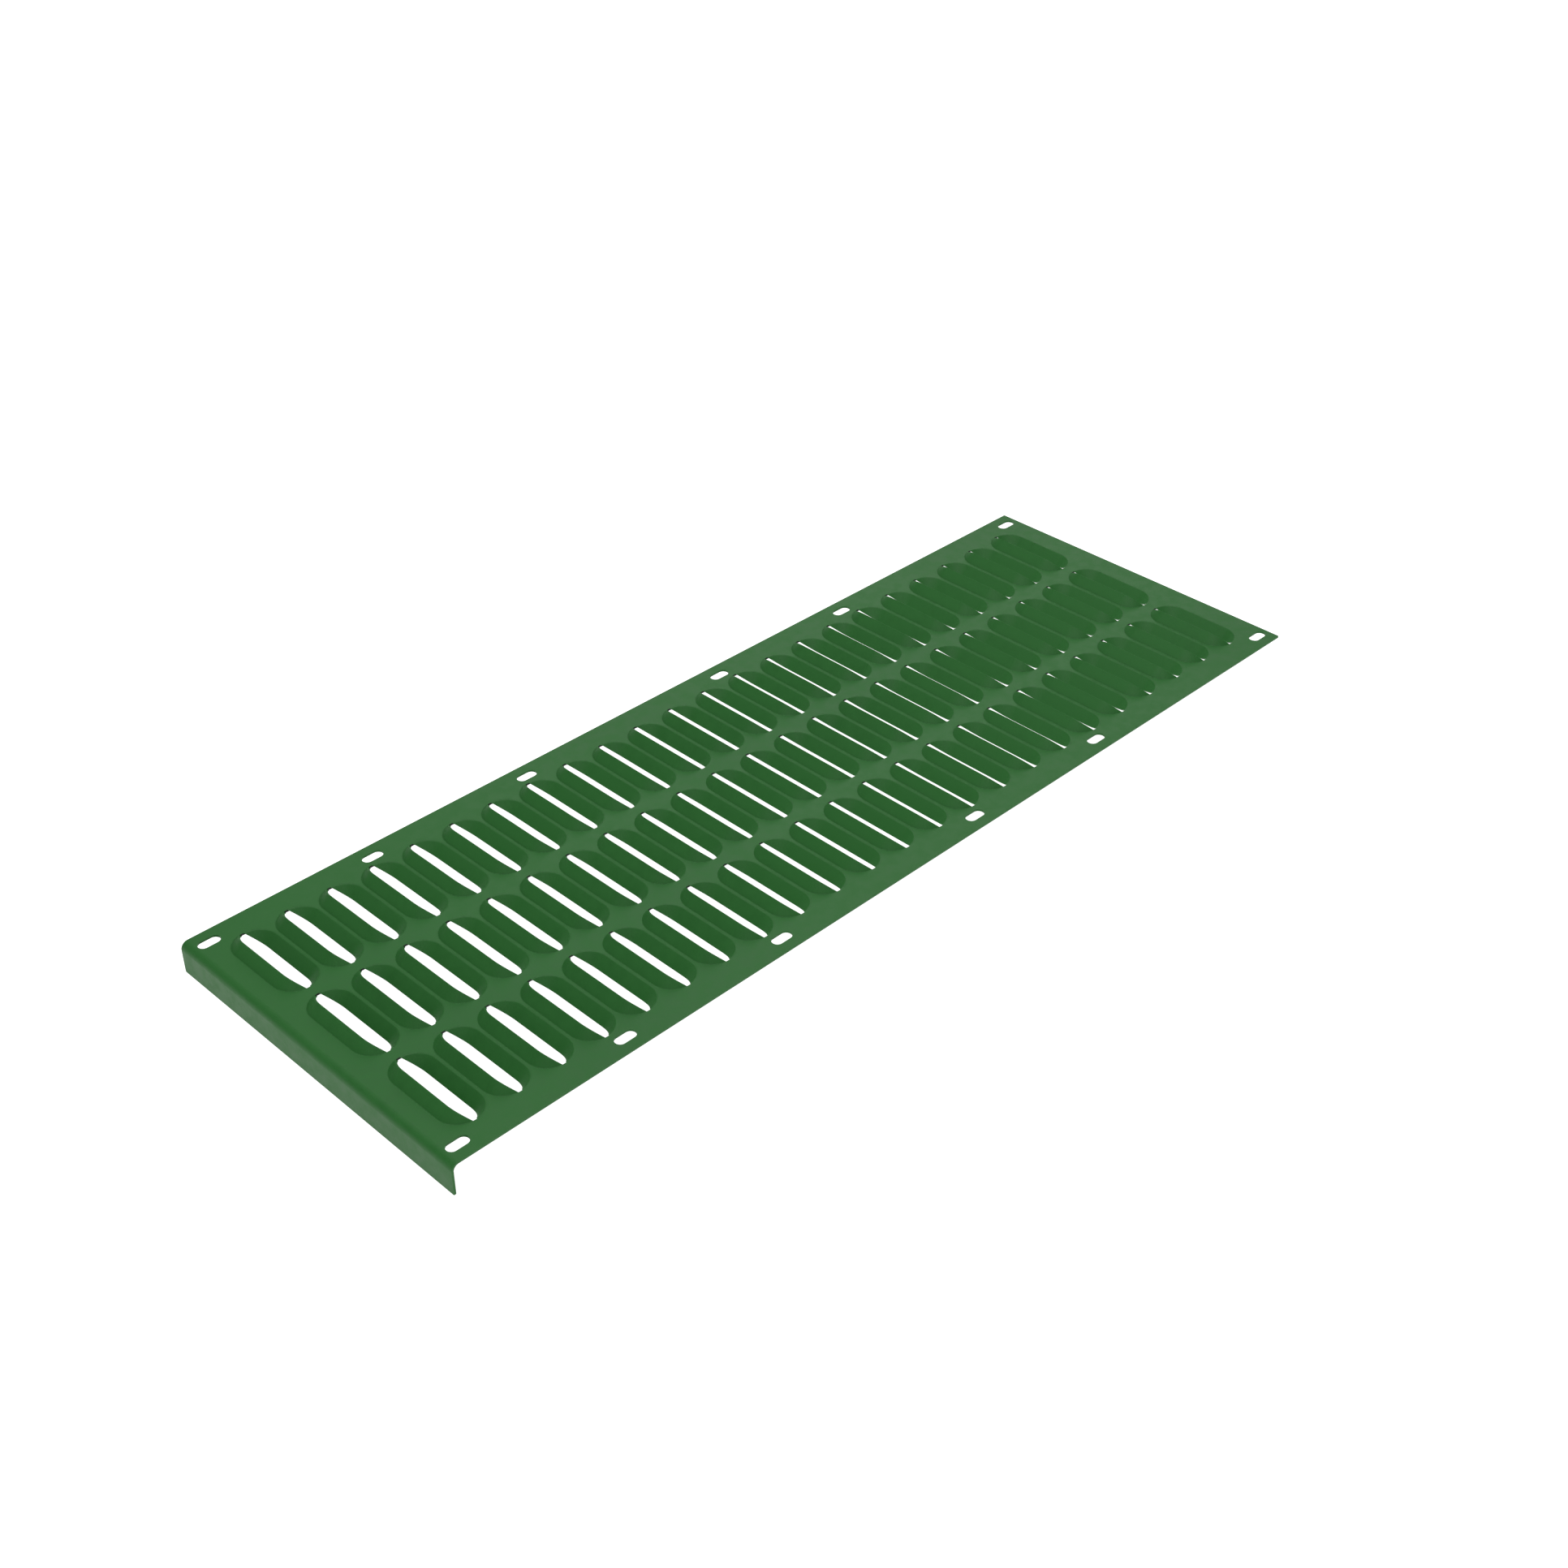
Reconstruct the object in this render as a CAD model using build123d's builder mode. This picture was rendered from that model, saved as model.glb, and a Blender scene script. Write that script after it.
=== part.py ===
"""Louvred deck panel: one sheet of steel, pressed with rows of split louvres, slotted along
both long edges for bolts, and turned down at one short end.

Frame, in millimetres: X runs along the panel from the turned-down flange to the plain end,
Y across it and Z up. The origin is the middle of the four corner slots, on the underside of
the sheet, which is the plane that rests on the supporting frame.
"""

import os
from math import cos, radians, sin, tan

from build123d import *

# Sheet
length = 871.0  # flange's outer face to the plain end
width = 300.0
thickness = 1.75

# End flange
flange_depth = 25.3  # top of the sheet down to the flange's lower edge
bend_radius = 6.0  # outside of the bend

# Louvres, in rows along X and columns along Y
row_pitch = 36.25
ridge_width = 1.9  # flat metal left between two rows
louvre_length = 79.5  # across the panel
column_gap = 9.5  # flat metal left between two columns
side_margin = 21.0  # least flat metal along each long edge
ramp_angle = 45.0  # slope of both lips, in degrees
slit_width = 2.6  # clear gap between the cut edges of the two lips

# Bolt slots, their long axes along X
slot_length = 17.3
slot_width = 8.8
slot_inset = 12.7  # slot centre in from the long edge
flange_setback = 15.0  # corner slot centre to the flange's outer face
end_setback = 12.9  # corner slot centre to the plain end
middle_slots = 397.2  # flange's outer face to the centre of the eight inner slots
outer_spacing = 489.5  # between the outer pair of inner slots
inner_spacing = 202.3  # between the inner pair

# Places along X, measured from the origin
corner_spacing = length - flange_setback - end_setback
flange_face = -corner_spacing / 2 - flange_setback
plain_end = flange_face + length
slot_row_spacing = width - 2 * slot_inset

# As many louvres as fit: a whole pitch clear at each end, and the margin at each side
louvre_width = row_pitch - ridge_width
column_pitch = louvre_length + column_gap
rows = int((length - 2 * row_pitch) / row_pitch) + 1
columns = int((width - 2 * side_margin - louvre_length) / column_pitch) + 1
louvre_field = flange_face + row_pitch * (rows + 1) / 2

# A lip slopes up from the outline to a square-cut edge, half a slit short of the middle
slope = radians(ramp_angle)
lip_reach = (louvre_width * cos(slope) - thickness * sin(slope) - slit_width) / 2
lip_rise = lip_reach * sin(slope)
crease_inset = thickness * tan(slope / 2)  # the underside folds this far inside the outline
roof_height = lip_rise + thickness  # the blank roof stands this far above the cut lip


def panel_blank():
    """The bent sheet before it is pierced: a flat sheet with its flange turned down."""
    with BuildPart() as blank:
        with BuildSketch(Plane.XZ):
            with BuildLine():
                outside = FilletPolyline(
                    (plain_end, thickness),
                    (flange_face, thickness),
                    (flange_face, thickness - flange_depth),
                    radius=bend_radius,
                )
                inside = FilletPolyline(
                    (plain_end, 0),
                    (flange_face + thickness, 0),
                    (flange_face + thickness, thickness - flange_depth),
                    radius=bend_radius - thickness,
                )
                Line(outside @ 0, inside @ 0)
                Line(outside @ 1, inside @ 1)
            make_face()
        extrude(amount=width / 2, both=True)
    return blank.part


def raised_lip():
    """The half of a louvre that is pressed up, one sheet thick, cut off square at the slit."""
    slit_edge = Plane(
        origin=(-slit_width / 2 * cos(slope), 0, thickness / 2 - slit_width / 2 * sin(slope)),
        x_dir=(0, 1, 0),
        z_dir=(cos(slope), 0, sin(slope)),
    )
    with BuildPart() as lip:
        with BuildSketch():
            SlotOverall(louvre_length, louvre_width, rotation=90)
        extrude(amount=thickness)
        with BuildSketch(Plane.XY.offset(thickness)):
            SlotOverall(louvre_length, louvre_width, rotation=90)
        extrude(amount=roof_height, taper=90 - ramp_angle)
        with BuildSketch():
            SlotOverall(louvre_length - 2 * crease_inset, louvre_width - 2 * crease_inset, rotation=90)
        extrude(amount=roof_height + thickness, taper=90 - ramp_angle, mode=Mode.SUBTRACT)
        split(bisect_by=slit_edge, keep=Keep.BOTTOM)
    return lip.part


os.makedirs("parts", exist_ok=True)

sheet = panel_blank()
lip_up = raised_lip()

with BuildPart() as deck_panel:
    add(sheet)

    # Louvre openings, then their lips: the half nearer the flange stands up, the other hangs down
    with BuildSketch():
        with Locations((louvre_field, 0)):
            with GridLocations(row_pitch, column_pitch, rows, columns):
                SlotOverall(louvre_length, louvre_width, rotation=90)
    extrude(amount=thickness, mode=Mode.SUBTRACT)
    with Locations((louvre_field, 0)):
        with GridLocations(row_pitch, column_pitch, rows, columns):
            with Locations(Location((0, 0, 0)), Location((0, 0, thickness), (0, 180, 0))):
                add(lip_up)

    # Bolt slots: the four corners, then the two inner sets about their own centre
    with BuildSketch():
        with GridLocations(corner_spacing, slot_row_spacing, 2, 2):
            SlotOverall(slot_length, slot_width)
        with Locations((flange_face + middle_slots, 0)):
            with GridLocations(outer_spacing, slot_row_spacing, 2, 2):
                SlotOverall(slot_length, slot_width)
            with GridLocations(inner_spacing, slot_row_spacing, 2, 2):
                SlotOverall(slot_length, slot_width)
    extrude(amount=thickness, mode=Mode.SUBTRACT)

deck_panel.part.label = "deck_panel"
export_step(deck_panel.part, "parts/deck_panel.step")
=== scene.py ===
"""Louvred deck plank: one pressed sheet of steel under a satin green powder coat.

Metres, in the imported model's own frame: X runs along the plank from the turned-down flange to
the plain end, Y across it, Z up. The underside of the flat sheet is at Z = 0.

The visible sheet is worked out as a blank, before its flange is bent. A point of the blank is
(x, y, w): its place on the unbent sheet, and its height above the middle of the thickness.
"""

import math

import bpy
import numpy as np
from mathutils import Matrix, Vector
from mathutils.geometry import delaunay_2d_cdt


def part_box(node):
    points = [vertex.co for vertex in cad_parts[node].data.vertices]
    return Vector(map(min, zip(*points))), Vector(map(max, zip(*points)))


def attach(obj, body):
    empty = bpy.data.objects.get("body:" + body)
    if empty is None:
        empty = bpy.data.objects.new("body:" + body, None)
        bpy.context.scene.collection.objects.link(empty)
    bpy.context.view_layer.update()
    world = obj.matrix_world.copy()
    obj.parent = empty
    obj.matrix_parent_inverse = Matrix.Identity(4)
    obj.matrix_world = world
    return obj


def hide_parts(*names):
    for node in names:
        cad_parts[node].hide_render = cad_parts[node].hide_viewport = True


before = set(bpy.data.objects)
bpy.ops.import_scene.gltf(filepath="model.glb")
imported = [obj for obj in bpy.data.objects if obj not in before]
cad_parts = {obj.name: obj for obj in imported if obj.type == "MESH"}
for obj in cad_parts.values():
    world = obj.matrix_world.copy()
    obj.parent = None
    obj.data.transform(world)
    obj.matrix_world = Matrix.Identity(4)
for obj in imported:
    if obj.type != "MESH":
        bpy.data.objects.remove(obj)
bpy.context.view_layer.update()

MM = 0.001
NODE = "deck_panel"

# Sheet
THICKNESS = 1.75 * MM
BEND_RADIUS = 6.0 * MM  # outside of the flange's bend
CORNER_RADIUS = 0.8 * MM  # in plan
MARGIN_BAND = 0.7 * MM  # width of the strip that borders the sheet's faces
EDGE_ROUNDING = 0.24 * MM  # how far a deburred and coated edge is rounded back

# Louvres
ROW_PITCH = 36.25 * MM
ROWS = 23
COLUMN_PITCH = 89.0 * MM
COLUMNS = 3
LOUVRE_WIDTH = 34.35 * MM
LOUVRE_LENGTH = 79.5 * MM
SLOPE = math.radians(45)  # of both lips
SLIT = 2.45 * MM  # clear gap between the lips' cut edges
OUTLINE_BAND = 0.45 * MM  # flat strip round a louvre's outline
INNER_FOLD = 0.22 * MM  # how far the hollow side of a fold is rounded back
OUTER_FOLD = 0.5 * MM  # and its crowned side

# Bolt slots, long axes along X
SLOT_LENGTH = 17.3 * MM
SLOT_WIDTH = 8.8 * MM
SLOT_INSET = 12.7 * MM
SLOT_BAND = 0.3 * MM  # the corner slots end 0.35 mm short of the bend
FLANGE_SETBACK = 15.0 * MM
END_SETBACK = 12.9 * MM
MIDDLE_SLOTS = 397.2 * MM
OUTER_SPACING = 489.5 * MM
INNER_SPACING = 202.3 * MM

# Fineness
ARC_STEPS = 12  # round a quarter of a louvre's end
SLOT_STEPS = 12  # round a slot's end
CORNER_STEPS = 3
BEND_STEPS = 14
FOLD_STEPS = 3
EDGE_STEPS = 2
LEAST_SIDE = 0.12 * MM  # shortest side of a section where a lip runs out

# Coating
GREEN = (0.0190, 0.1170, 0.0210)
DEEP_GREEN = (0.0142, 0.0950, 0.0163)
# paler green along edges: partly a thinner coat, partly a painted highlight
THIN_COAT_AND_HIGHLIGHT_GREEN = (0.0215, 0.1250, 0.0240)
# painted shade: near-black on the slits' end walls, which face away from the light
END_WALL_SHADE = (0.0015, 0.0075, 0.0018)
COAT_ROUGHNESS = 0.5
ROUGHNESS_SPREAD = 0.05  # either way, with the mottle
COAT_IOR = 1.3
DRIFT_PITCH = 220 * MM
MOTTLE_PITCH = 9 * MM
PALE_EDGE_PITCH = 3 * MM  # lumps that break up the paler band along an edge, part thin coat and part painted highlight
PEEL_PITCH = 2.4 * MM
PEEL_HEIGHT = 0.03 * MM
FOLD_GLOW = 1.4 * MM  # how far from a fold the coat gathers
PALE_EDGE_REACH = 0.7 * MM  # how far from a cut edge the coat is paler, from thinning and a painted highlight
END_WALL_SHADE_REACH = 2.3 * MM  # painted shade, near-black, reaches this far from the slit's middle on a slit's end wall

# Studio
FLOOR_SIZE = 12.0
FLOOR_TONE = 0.35
FLOOR_GLOW = 0.97
AIR_STRENGTH = 0.32
CAMERA_DISTANCE = 1.6626

# Derived
node_low, node_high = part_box(NODE)
HALF = THICKNESS / 2
FLANGE_FACE = node_low.x
PLAIN_END = node_high.x
EDGE_Y = node_high.y
BEND_LINE = FLANGE_FACE + BEND_RADIUS
MIDDLE_RADIUS = BEND_RADIUS - HALF
BEND_ARC = MIDDLE_RADIUS * math.pi / 2
BLANK_START = BEND_LINE - BEND_ARC - (THICKNESS - BEND_RADIUS - node_low.z)
REACH = LOUVRE_WIDTH / 2
CORE = LOUVRE_LENGTH / 2 - REACH
FOLD_OFFSET = THICKNESS * math.tan(SLOPE / 2)  # the crowned face folds this far inside the hollow one


def rounded(chain, reach, steps):
    """Rounds the inner corners of chains of points.

    Each corner becomes a parabola that leaves one side and meets the next at reach from the
    corner, or at 45 % of the shorter side where that is nearer. A corner with no steps keeps
    only its own point.
    """
    parts = [chain[:, :1]]
    for i, (far, count) in enumerate(zip(reach, steps), 1):
        corner = chain[:, i : i + 1]
        if not count:
            parts.append(corner)
            continue
        before = chain[:, i - 1 : i] - corner
        after = chain[:, i + 1 : i + 2] - corner
        lengths = [np.linalg.norm(side, axis=2, keepdims=True) for side in (before, after)]
        far = np.minimum(far, 0.45 * np.minimum(*lengths))
        t = np.linspace(0, 1, count + 1)[None, :, None]
        parts.append(
            corner + (1 - t) ** 2 * far * before / lengths[0] + t**2 * far * after / lengths[1]
        )
    parts.append(chain[:, -1:])
    return np.concatenate(parts, axis=1)


def carried(core, outward, section):
    """A section carried round a loop: core point plus outward direction times the section's reach."""
    plan = core[:, None] + outward[:, None] * section[..., :1]
    return np.concatenate([plan, np.broadcast_to(section[..., 1:], plan[..., :1].shape)], axis=2)


def raised_lip(across):
    """Section corners of the raised lip, from the upper face to the under face, as (reach, height).

    across is the X part of the outward direction, from 0 at the louvre's end to -1 at its
    flange side. Both faces of the lip rise inwards from their fold lines by the tangent of the
    slope, and the slit cuts them along the plane u cos(slope) + w sin(slope) = -SLIT / 2, where
    u is across times reach. Where the lip has run out, the sheet ends in an upright wall at the
    outline, and the third corner is the crease between that wall and the slit's plane.
    """
    cos, sin = math.cos(SLOPE), math.sin(SLOPE)
    gap = SLIT / 2
    inner = REACH - FOLD_OFFSET
    closing = sin * sin / cos - across * cos
    upper = np.minimum((gap + HALF * sin + REACH * sin * sin / cos) / closing, REACH)
    under = (gap - HALF * sin + inner * sin * sin / cos) / closing
    on_flat = np.minimum((gap - HALF * sin) / (cos * np.maximum(-across, 1e-6)), REACH)
    under = np.where(under < inner, under, on_flat)
    crease = -(gap + REACH * across * cos) / sin
    on_lip = crease > 0.999 * HALF
    crease = np.where(crease > -HALF, crease, 0)
    upper_edge = np.stack([upper, HALF + (REACH - upper) * sin / cos], axis=1)
    under_edge = np.stack([under, np.maximum(inner - under, 0) * sin / cos - HALF], axis=1)
    wall = np.stack([np.full_like(across, REACH), crease], axis=1)
    between = np.where(on_lip[:, None], (upper_edge + under_edge) / 2, wall)
    upper_fold = np.maximum(REACH, upper + LEAST_SIDE)
    under_fold = np.maximum(inner, under + LEAST_SIDE)
    flat = np.full_like(across, REACH + OUTLINE_BAND)
    level = lambda reach, height: np.stack([reach, np.full_like(reach, height)], axis=1)
    corners = [
        level(flat, HALF),
        level(upper_fold, HALF),
        upper_edge,
        between,
        under_edge,
        level(under_fold, -HALF),
        level(flat, -HALF),
    ]
    return np.stack(corners, axis=1)


def louvre():
    """One louvre about its own middle: its section carried round its outline.

    Each direction round the end is sampled where a lip's edge meets the sheet's faces, and
    evenly along the lips. The lowered lip is the raised one turned half a turn about the Y
    axis, so its section is that of the opposite direction, upside down and read backwards.
    """
    cos, sin = math.cos(SLOPE), math.sin(SLOPE)
    gap = SLIT / 2
    lip_ends = (gap + HALF * sin) / (REACH * cos)
    crease_middle = gap / (REACH * cos)
    under_fold_ends = (gap - HALF * sin) / ((REACH - FOLD_OFFSET) * cos)
    wall_starts = (gap - HALF * sin) / (REACH * cos)
    lip = np.cos(np.linspace(math.acos(lip_ends), 0, ARC_STEPS + 1))
    across = -np.concatenate([[wall_starts, under_fold_ends, crease_middle], lip])
    raised = rounded(
        raised_lip(across),
        [INNER_FOLD, EDGE_ROUNDING, 0, EDGE_ROUNDING, OUTER_FOLD],
        [FOLD_STEPS, EDGE_STEPS, 0, EDGE_STEPS, FOLD_STEPS],
    )
    lowered = (raised * [1, -1])[::-1, ::-1]
    section = np.concatenate([lowered, raised])
    across = np.concatenate([-across[::-1], across])
    outward = np.stack([across, np.sqrt(1 - across**2)], axis=1)
    core = np.array([[0, CORE]])
    left = carried(core, outward, section)
    right = carried(-core, outward * [1, -1], section)[::-1]
    leans_back = np.arange(2 * len(across)) < len(across)
    return np.concatenate([left, right]), leans_back


def slot():
    """One bolt slot about its own middle, its walls upright and its edges rounded."""
    radius = SLOT_WIDTH / 2
    rim = radius + SLOT_BAND
    chain = np.array([[[rim, HALF], [radius, HALF], [radius, -HALF], [rim, -HALF]]])
    section = rounded(chain, [EDGE_ROUNDING] * 2, [EDGE_STEPS] * 2)
    turn = np.linspace(-math.pi / 2, math.pi / 2, SLOT_STEPS + 1)
    outward = np.stack([np.cos(turn), np.sin(turn)], axis=1)
    core = np.array([[SLOT_LENGTH / 2 - radius, 0]])
    return np.concatenate([carried(core, outward, section), carried(-core, -outward, section)])


def border():
    """The blank's outer edge, clockwise, with its corners rounded in plan.

    The long edges also have a point at each step of the bend, and the second result pairs
    those points across the sheet.
    """
    chain = np.array([[
        [CORNER_RADIUS - MARGIN_BAND, HALF],
        [CORNER_RADIUS, HALF],
        [CORNER_RADIUS, -HALF],
        [CORNER_RADIUS - MARGIN_BAND, -HALF],
    ]])
    section = rounded(chain, [EDGE_ROUNDING] * 2, [EDGE_STEPS] * 2)
    middle = (BLANK_START + PLAIN_END) / 2
    to_end = PLAIN_END - middle - CORNER_RADIUS
    to_side = EDGE_Y - CORNER_RADIUS
    quarter = np.linspace(math.pi / 2, 0, CORNER_STEPS + 1)
    outward = np.stack([np.cos(quarter), np.sin(quarter)], axis=1)
    bend = BEND_LINE - BEND_ARC * np.linspace(1, 0, BEND_STEPS + 1)
    straight = np.stack([bend, np.full_like(bend, to_side)], axis=1)
    along = np.tile([0.0, 1.0], (len(bend), 1))
    shift = np.array([middle, 0])
    cores, directions = [], []
    for x_side, y_side in ((1, 1), (1, -1), (-1, -1), (-1, 1)):
        side = np.array([x_side, y_side])
        order = slice(None) if x_side == y_side else slice(None, None, -1)
        corner = shift + side * [to_end, to_side]
        cores.append(np.repeat(corner[None], len(outward), axis=0))
        directions.append((outward * side)[order])
        if (x_side, y_side) == (1, -1):
            cores.append((straight * [1, -1])[::-1])
            directions.append(-along)
        if (x_side, y_side) == (-1, 1):
            cores.append(straight)
            directions.append(along)
    first = 2 * len(outward)
    second = len(bend) + 4 * len(outward)
    pairs = np.stack([first + np.arange(len(bend)), second + np.arange(len(bend))[::-1]], axis=1)
    return carried(np.concatenate(cores), np.concatenate(directions), section), pairs


def ring_faces(count, stations, leans_back):
    """Triangles of a closed ring of sections, seen from outside the metal.

    Each four-sided cell is cut from this section's lower corner to the next section's upper
    one, or the other way where leans_back is true, so that a cut follows the louvre's creases.
    """
    a = (np.arange(count)[:, None] * stations + np.arange(stations - 1)).ravel()
    b = (np.roll(np.arange(count), -1)[:, None] * stations + np.arange(stations - 1)).ravel()
    back = np.repeat(leans_back, stations - 1)[:, None]
    first = np.where(back, np.stack([a, b, a + 1], axis=1), np.stack([a, b, b + 1], axis=1))
    second = np.where(back, np.stack([b, b + 1, a + 1], axis=1), np.stack([a, b + 1, a + 1], axis=1))
    return np.concatenate([first, second])


def flat_faces(plan, loops, lines):
    """Triangles that fill the sheet's flat faces between its loops, by Delaunay's rule.

    A triangle whose corners all lie on one hole's loop is in that hole, and is left out. The
    last loop is the border.
    """
    edges = [np.stack([loop, np.roll(loop, -1)], axis=1) for loop in loops] + [lines]
    inside = 1  # triangles within the loops
    made = delaunay_2d_cdt(
        [Vector(point) for point in (plan / MM).tolist()],
        np.concatenate(edges).tolist(),
        [],
        inside,
        1e-6,
    )
    points, triangles, originals = made[0], np.array(made[2]), made[3]
    if len(points) != len(plan):
        raise ValueError("two of the sheet's loops meet")
    corner = np.array([kept[0] for kept in originals])[triangles]
    owner = np.concatenate([np.full(len(loop), number) for number, loop in enumerate(loops)])
    held = owner[corner]
    in_hole = (held == held[:, :1]).all(axis=1) & (held[:, 0] < len(loops) - 1)
    corner = corner[~in_hole]
    one, two, three = (plan[corner[:, k]] for k in range(3))
    turn = np.cross(two - one, three - one)
    return np.where(turn[:, None] > 0, corner, corner[:, ::-1])


def bent(blank):
    """Folds the blank's flange down.

    Before the bend line a point keeps its place. Past it the point goes round the bend's centre
    at the middle radius plus its own height, by the blank's length over the middle radius, up
    to a quarter turn, and then straight down.
    """
    x, y, w = blank.T
    past = np.maximum(BEND_LINE - x, 0)
    turn = np.minimum(past, BEND_ARC) / MIDDLE_RADIUS
    down = np.maximum(past - BEND_ARC, 0)
    radius = MIDDLE_RADIUS + w
    folded_x = BEND_LINE - radius * np.sin(turn)
    folded_z = THICKNESS - BEND_RADIUS + radius * np.cos(turn) - down
    flat = past == 0
    return np.stack([np.where(flat, x, folded_x), y, np.where(flat, HALF + w, folded_z)], axis=1)


def louvre_places():
    """Middles of the louvres: rows a pitch apart from the flange, columns about the centre line."""
    x = FLANGE_FACE + ROW_PITCH * np.arange(1, ROWS + 1)
    y = COLUMN_PITCH * (np.arange(COLUMNS) - (COLUMNS - 1) / 2)
    return np.stack(np.meshgrid(x, y), axis=2).reshape(-1, 2)


def slot_places():
    """Middles of the bolt slots: a pair at each place along the plank, one by each long edge."""
    inner = FLANGE_FACE + MIDDLE_SLOTS
    spread = np.array([-OUTER_SPACING, -INNER_SPACING, INNER_SPACING, OUTER_SPACING]) / 2
    x = np.concatenate([[FLANGE_FACE + FLANGE_SETBACK], inner + spread, [PLAIN_END - END_SETBACK]])
    y = (EDGE_Y - SLOT_INSET) * np.array([-1, 1])
    return np.stack(np.meshgrid(x, y), axis=2).reshape(-1, 2)


def pressed_sheet():
    """The whole sheet: louvres, slots and border as carried sections, and flat faces between."""
    one_louvre, leans_back = louvre()
    one_slot = slot()
    outer, bend_lines = border()
    shapes = [
        (one_louvre, leans_back, louvre_places()),
        (one_slot, np.ones(len(one_slot), bool), slot_places()),
        (outer, np.ones(len(outer), bool), np.zeros((1, 2))),
    ]
    blank, faces, upper_rims, under_rims, used = [], [], [], [], 0
    for shape, back, places in shapes:
        count, stations = shape.shape[:2]
        shift = np.pad(places, ((0, 0), (0, 1)))[:, None, None]
        first = used + np.arange(len(places)) * count * stations
        blank.append((shape + shift).reshape(-1, 3))
        faces.append((ring_faces(count, stations, back) + first[:, None, None]).reshape(-1, 3))
        rims = first[:, None] + np.arange(count) * stations
        upper_rims.extend(rims)
        under_rims.extend(rims + stations - 1)
        used += len(blank[-1])
    blank = np.concatenate(blank)
    upper, under = np.concatenate(upper_rims), np.concatenate(under_rims)
    starts = np.cumsum([0] + [len(rim) for rim in upper_rims])
    loops = [np.arange(a, b) for a, b in zip(starts[:-1], starts[1:])]
    fill = flat_faces(blank[upper, :2], loops, starts[-2] + bend_lines)
    faces = np.concatenate(faces + [upper[fill], under[fill][:, ::-1]])
    return bent(blank), faces


def mesh_piece(name, points, faces):
    """A smooth-shaded mesh piece whose broad faces keep their own normals beside rounded edges."""
    mesh = bpy.data.meshes.new(name)
    mesh.from_pydata(points.tolist(), [], faces.tolist())
    mesh.validate()
    mesh.shade_smooth()
    mesh.set_sharp_from_angle(angle=math.radians(50))
    piece = bpy.data.objects.new(name, mesh)
    bpy.context.scene.collection.objects.link(piece)
    weighted = piece.modifiers.new("broad_faces_lead", "WEIGHTED_NORMAL")
    weighted.keep_sharp = True
    return piece


# ---- Coating ----

def sums(tree, operation, *values, clamp=False):
    """A Math node on these sockets and numbers, and the socket that it puts out."""
    node = tree.nodes.new("ShaderNodeMath")
    node.operation = operation
    node.use_clamp = clamp
    for socket, value in zip(node.inputs, values):
        if isinstance(value, bpy.types.NodeSocket):
            tree.links.new(value, socket)
        else:
            socket.default_value = value
    return node.outputs[0]


def ramp(tree, value, start, end, low=0.0, high=1.0):
    """A smooth change from low to high as value goes from start to end."""
    node = tree.nodes.new("ShaderNodeMapRange")
    node.interpolation_type = "SMOOTHSTEP"
    tree.links.new(value, node.inputs["Value"])
    for name, number in zip(("From Min", "From Max", "To Min", "To Max"), (start, end, low, high)):
        node.inputs[name].default_value = number
    return node.outputs[0]


def noise(tree, place, pitch, detail=2.0, roughness=0.5):
    """Noise whose lumps are about pitch apart."""
    node = tree.nodes.new("ShaderNodeTexNoise")
    tree.links.new(place, node.inputs["Vector"])
    node.inputs["Scale"].default_value = 1 / pitch
    node.inputs["Detail"].default_value = detail
    node.inputs["Roughness"].default_value = roughness
    return node.outputs["Fac"]


def blended(tree, share, low, high):
    """A colour between two others."""
    node = tree.nodes.new("ShaderNodeMix")
    node.data_type = "RGBA"
    tree.links.new(share, node.inputs["Factor"])
    for socket, value in ((node.inputs["A"], low), (node.inputs["B"], high)):
        if isinstance(value, bpy.types.NodeSocket):
            tree.links.new(value, socket)
        else:
            socket.default_value = (*value, 1)
    return node.outputs["Result"]


def new_group(name, takes, gives):
    """An empty shader node group with named sockets, and its input and output nodes."""
    group = bpy.data.node_groups.new(name, "ShaderNodeTree")
    for socket, kind in takes:
        group.interface.new_socket(socket, in_out="INPUT", socket_type=kind)
    for socket, kind in gives:
        group.interface.new_socket(socket, in_out="OUTPUT", socket_type=kind)
    return group, group.nodes.new("NodeGroupInput"), group.nodes.new("NodeGroupOutput")


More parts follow.
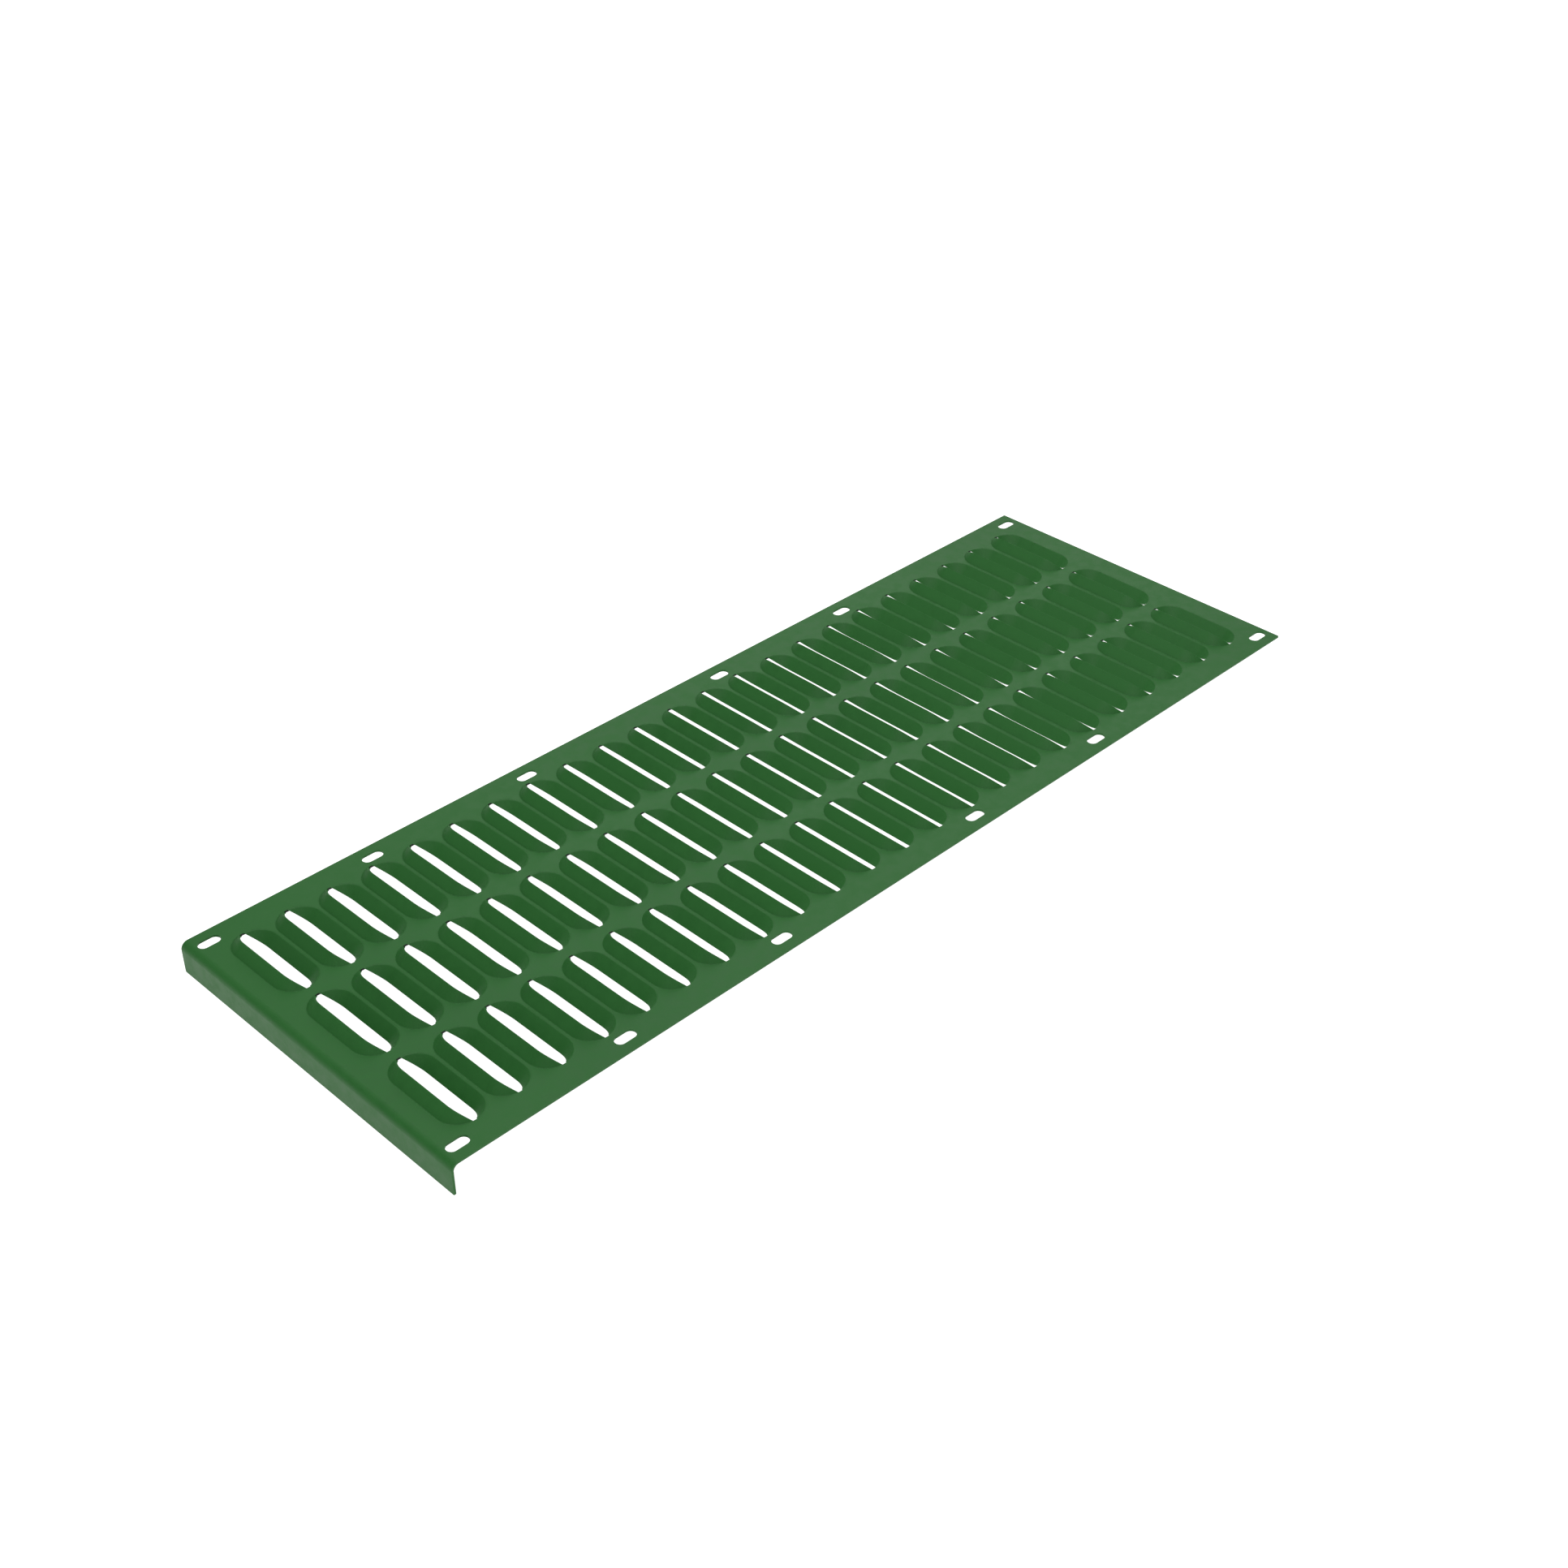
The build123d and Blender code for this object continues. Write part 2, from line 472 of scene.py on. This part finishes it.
def pressing_group():
    """Masks that follow the pressing.

    Fold is 1 along the louvres' outlines, Edge along cut edges, and the painted-shade mask on a slit's end
    walls, which are painted near-black as shade.

    A louvre's outline is where the distance from its core line is REACH. A lip's cut edge is
    where the slit plane's height is half the slit. A bolt slot's edge is where the distance from
    its own core line is half its width. The last edges are the sheet's border.
    """
    group, takes, gives = new_group(
        "pressing",
        [("Place", "NodeSocketVector")],
        [("Fold", "NodeSocketFloat"), ("Edge", "NodeSocketFloat"), ("Painted Shade", "NodeSocketFloat")],
    )
    split = group.nodes.new("ShaderNodeSeparateXYZ")
    group.links.new(takes.outputs["Place"], split.inputs[0])
    x, y, z = split.outputs

    def math_of(operation, *values):
        return sums(group, operation, *values)

    def distance(one, other):
        squares = math_of("MULTIPLY", one, one), math_of("MULTIPLY", other, other)
        return math_of("SQRT", math_of("ADD", *squares))

    first_row = FLANGE_FACE + ROW_PITCH
    u = math_of("WRAP", math_of("SUBTRACT", x, first_row), ROW_PITCH / 2, -ROW_PITCH / 2)
    v = math_of("WRAP", y, COLUMN_PITCH / 2, -COLUMN_PITCH / 2)
    past_core = math_of("MAXIMUM", math_of("SUBTRACT", math_of("ABSOLUTE", v), CORE), 0)
    reach = distance(u, past_core)
    field_middle = first_row + (ROWS - 1) * ROW_PITCH / 2
    from_middle = math_of("ABSOLUTE", math_of("SUBTRACT", x, field_middle))
    in_rows = math_of("LESS_THAN", from_middle, ROWS * ROW_PITCH / 2)
    in_columns = math_of("LESS_THAN", math_of("ABSOLUTE", y), COLUMNS * COLUMN_PITCH / 2)
    in_field = math_of("MULTIPLY", in_rows, in_columns)
    off_outline = math_of("ABSOLUTE", math_of("SUBTRACT", reach, REACH))
    fold = math_of("MULTIPLY", ramp(group, off_outline, FOLD_GLOW, 0), in_field)

    height = math_of("SUBTRACT", z, HALF)
    off_middle = math_of("ABSOLUTE", u)
    in_thickness = ramp(group, math_of("ABSOLUTE", height), 0.98 * HALF, 0.85 * HALF)
    on_wall = ramp(group, off_outline, 0.4 * MM, 0.2 * MM)
    by_slit = ramp(group, off_middle, END_WALL_SHADE_REACH, 0.8 * END_WALL_SHADE_REACH)
    # painted shade: a slit's end walls are painted near-black
    painted_shade = in_field
    for share in (in_thickness, on_wall, by_slit):
        painted_shade = math_of("MULTIPLY", painted_shade, share)
    across = math_of("MULTIPLY", u, math.cos(SLOPE))
    upward = math_of("MULTIPLY", height, math.sin(SLOPE))
    along_cut = math_of("ADD", across, upward)
    off_slit = math_of("ABSOLUTE", math_of("SUBTRACT", math_of("ABSOLUTE", along_cut), SLIT / 2))
    outside = math_of("MAXIMUM", math_of("SUBTRACT", reach, REACH), 0)
    off_field = math_of("SUBTRACT", 1, in_field)
    off_lip = math_of("ADD", math_of("ADD", off_slit, outside), off_field)

    corner_middle = (FLANGE_FACE + FLANGE_SETBACK + PLAIN_END - END_SETBACK) / 2
    corner_spread = (PLAIN_END - END_SETBACK - FLANGE_FACE - FLANGE_SETBACK) / 2
    inner_middle = FLANGE_FACE + MIDDLE_SLOTS
    nearest = None
    for middle, spread in (
        (corner_middle, corner_spread),
        (inner_middle, OUTER_SPACING / 2),
        (inner_middle, INNER_SPACING / 2),
    ):
        from_pair = math_of("ABSOLUTE", math_of("SUBTRACT", x, middle))
        off_slot = math_of("ABSOLUTE", math_of("SUBTRACT", from_pair, spread))
        nearest = off_slot if nearest is None else math_of("MINIMUM", nearest, off_slot)
    slot_core = (SLOT_LENGTH - SLOT_WIDTH) / 2
    past_slot = math_of("MAXIMUM", math_of("SUBTRACT", nearest, slot_core), 0)
    aside = math_of("SUBTRACT", math_of("ABSOLUTE", y), EDGE_Y - SLOT_INSET)
    off_slot_edge = math_of("ABSOLUTE", math_of("SUBTRACT", distance(past_slot, aside), SLOT_WIDTH / 2))

    off_side = math_of("SUBTRACT", EDGE_Y, math_of("ABSOLUTE", y))
    off_end = math_of("SUBTRACT", PLAIN_END, x)
    off_lower = math_of("SUBTRACT", z, node_low.z)
    off_border = math_of("MINIMUM", math_of("MINIMUM", off_side, off_end), off_lower)
    off_edge = math_of("MINIMUM", math_of("MINIMUM", off_lip, off_slot_edge), off_border)
    group.links.new(fold, gives.inputs["Fold"])
    group.links.new(ramp(group, off_edge, PALE_EDGE_REACH, 0), gives.inputs["Edge"])
    group.links.new(painted_shade, gives.inputs["Painted Shade"])
    return group


def coat_group():
    """Powder coat: tone, roughness and skin.

    The tone drifts slowly and is finely mottled, deepens a little in the folds where the powder
    gathers, and is paler along an edge, partly where the coat thins and partly as a painted
    highlight. A slit's end walls are painted near-black, as painted shade. The skin is orange
    peel, in metres.
    """
    group, takes, gives = new_group(
        "powder_coat",
        [
            ("Place", "NodeSocketVector"),
            ("Fold", "NodeSocketFloat"),
            ("Edge", "NodeSocketFloat"),
            ("Painted Shade", "NodeSocketFloat"),
            ("Colour", "NodeSocketColor"),
            ("Deep Colour", "NodeSocketColor"),
            ("Thin Coat And Highlight Colour", "NodeSocketColor"),
            ("Painted Shade Colour", "NodeSocketColor"),
        ],
        [("Colour", "NodeSocketColor"), ("Roughness", "NodeSocketFloat"), ("Skin", "NodeSocketFloat")],
    )
    place = takes.outputs["Place"]
    drift = noise(group, place, DRIFT_PITCH, detail=1)
    mottle = noise(group, place, MOTTLE_PITCH, detail=3, roughness=0.6)
    tone = sums(group, "ADD", sums(group, "MULTIPLY", drift, 0.6), sums(group, "MULTIPLY", mottle, 0.4))
    gathered = sums(group, "MULTIPLY", takes.outputs["Fold"], ramp(group, mottle, 0.2, 0.8, 0.25, 0.6))
    deepening = sums(group, "MAXIMUM", ramp(group, tone, 0.55, 0.35, 0, 0.45), gathered)
    body = blended(group, deepening, takes.outputs["Colour"], takes.outputs["Deep Colour"])
    lumps = noise(group, place, PALE_EDGE_PITCH, detail=3, roughness=0.7)
    # the paler edge is partly a thinner coat and partly a painted highlight
    thin_coat_and_highlight = sums(group, "MULTIPLY", takes.outputs["Edge"], ramp(group, lumps, 0.35, 0.7, 0.15, 0.85))
    coated = blended(group, thin_coat_and_highlight, body, takes.outputs["Thin Coat And Highlight Colour"])
    # painted shade, near-black, on the slits' end walls
    colour = blended(group, takes.outputs["Painted Shade"], coated, takes.outputs["Painted Shade Colour"])
    least = COAT_ROUGHNESS - ROUGHNESS_SPREAD
    most = COAT_ROUGHNESS + ROUGHNESS_SPREAD
    roughness = ramp(group, mottle, 0.3, 0.7, least, most)
    roughness = sums(group, "SUBTRACT", roughness, sums(group, "MULTIPLY", thin_coat_and_highlight, 0.08))
    peel = noise(group, place, PEEL_PITCH, detail=2, roughness=0.4)
    fine = noise(group, place, PEEL_PITCH / 4, detail=1)
    skin = sums(group, "ADD", peel, sums(group, "MULTIPLY", fine, 0.15))
    group.links.new(colour, gives.inputs["Colour"])
    group.links.new(roughness, gives.inputs["Roughness"])
    group.links.new(skin, gives.inputs["Skin"])
    return group


def green_powder_coat():
    material = bpy.data.materials.new("green_powder_coat")
    material.use_nodes = True
    tree = material.node_tree
    shader = tree.nodes["Principled BSDF"]
    shader.inputs["IOR"].default_value = COAT_IOR
    place = tree.nodes.new("ShaderNodeTexCoord").outputs["Object"]
    pressing = tree.nodes.new("ShaderNodeGroup")
    pressing.node_tree = pressing_group()
    coat = tree.nodes.new("ShaderNodeGroup")
    coat.node_tree = coat_group()
    bump = tree.nodes.new("ShaderNodeBump")
    bump.inputs["Distance"].default_value = PEEL_HEIGHT
    for name, colour in (
        ("Colour", GREEN),
        ("Deep Colour", DEEP_GREEN),
        ("Thin Coat And Highlight Colour", THIN_COAT_AND_HIGHLIGHT_GREEN),
        ("Painted Shade Colour", END_WALL_SHADE),
    ):
        coat.inputs[name].default_value = (*colour, 1)
    tree.links.new(place, pressing.inputs["Place"])
    tree.links.new(place, coat.inputs["Place"])
    for mask in ("Fold", "Edge", "Painted Shade"):
        tree.links.new(pressing.outputs[mask], coat.inputs[mask])
    tree.links.new(coat.outputs["Colour"], shader.inputs["Base Color"])
    tree.links.new(coat.outputs["Roughness"], shader.inputs["Roughness"])
    tree.links.new(coat.outputs["Skin"], bump.inputs["Height"])
    tree.links.new(bump.outputs["Normal"], shader.inputs["Normal"])
    return material


# ---- Studio ----

def white_floor():
    """A pale sweep that glows a little, so that it stays white under the plank."""
    size = FLOOR_SIZE / 2
    corners = [(x, y, node_low.z) for x, y in ((-size, -size), (size, -size), (size, size), (-size, size))]
    mesh = bpy.data.meshes.new("floor")
    mesh.from_pydata(corners, [], [(0, 1, 2, 3)])
    floor = bpy.data.objects.new("floor", mesh)
    bpy.context.scene.collection.objects.link(floor)
    material = bpy.data.materials.new("white_sweep")
    material.use_nodes = True
    shader = material.node_tree.nodes["Principled BSDF"]
    shader.inputs["Base Color"].default_value = (FLOOR_TONE, FLOOR_TONE, FLOOR_TONE, 1)
    shader.inputs["Roughness"].default_value = 0.8
    shader.inputs["Emission Color"].default_value = (1, 1, 1, 1)
    shader.inputs["Emission Strength"].default_value = FLOOR_GLOW
    mesh.materials.append(material)


def softbox(name, place, width, height, power):
    """A rectangular soft light that faces the middle of the plank."""
    lamp = bpy.data.lights.new(name, "AREA")
    lamp.shape = "RECTANGLE"
    lamp.size = width
    lamp.size_y = height
    lamp.energy = power
    light = bpy.data.objects.new(name, lamp)
    light.location = place
    light.rotation_euler = (-Vector(place)).to_track_quat("-Z", "Y").to_euler()
    bpy.context.scene.collection.objects.link(light)


def studio_air():
    """Soft light from all round. The camera itself sees the same white as the floor."""
    world = bpy.data.worlds.new("studio")
    bpy.context.scene.world = world
    world.use_nodes = True
    tree = world.node_tree
    soft = tree.nodes["Background"]
    soft.inputs["Strength"].default_value = AIR_STRENGTH
    soft.inputs["Color"].default_value = (1, 1, 1, 1)
    seen = tree.nodes.new("ShaderNodeBackground")
    seen.inputs["Color"].default_value = (1, 1, 1, 1)
    mix = tree.nodes.new("ShaderNodeMixShader")
    path = tree.nodes.new("ShaderNodeLightPath")
    tree.links.new(path.outputs["Is Camera Ray"], mix.inputs["Fac"])
    tree.links.new(soft.outputs[0], mix.inputs[1])
    tree.links.new(seen.outputs[0], mix.inputs[2])
    tree.links.new(mix.outputs[0], tree.nodes["World Output"].inputs["Surface"])


def camera():
    """The camera looks at the middle of the plank along a cube's diagonal."""
    toward = Vector((-1, -1, 1)).normalized()
    data = bpy.data.cameras.new("camera")
    data.lens = 50
    data.sensor_width = 36
    data.clip_start = 0.01
    view = bpy.data.objects.new("camera", data)
    view.location = (node_low + node_high) / 2 + toward * CAMERA_DISTANCE
    view.rotation_euler = toward.to_track_quat("Z", "Y").to_euler()
    bpy.context.scene.collection.objects.link(view)
    bpy.context.scene.camera = view


points, faces = pressed_sheet()
sheet = mesh_piece("louvred_sheet", points, faces)
sheet.data.materials.append(green_powder_coat())
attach(sheet, "root")
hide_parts(NODE)

white_floor()
studio_air()
softbox("overhead_softbox", (0, 0, 2.2), 2.4, 2.4, 42)
softbox("rear_softbox", (2.2, 2.0, 1.9), 2.6, 2.0, 23)
softbox("side_fill", (-2.4, -1.2, 0.8), 1.6, 1.2, 7.5)
camera()
bpy.context.scene.view_settings.view_transform = "Standard"
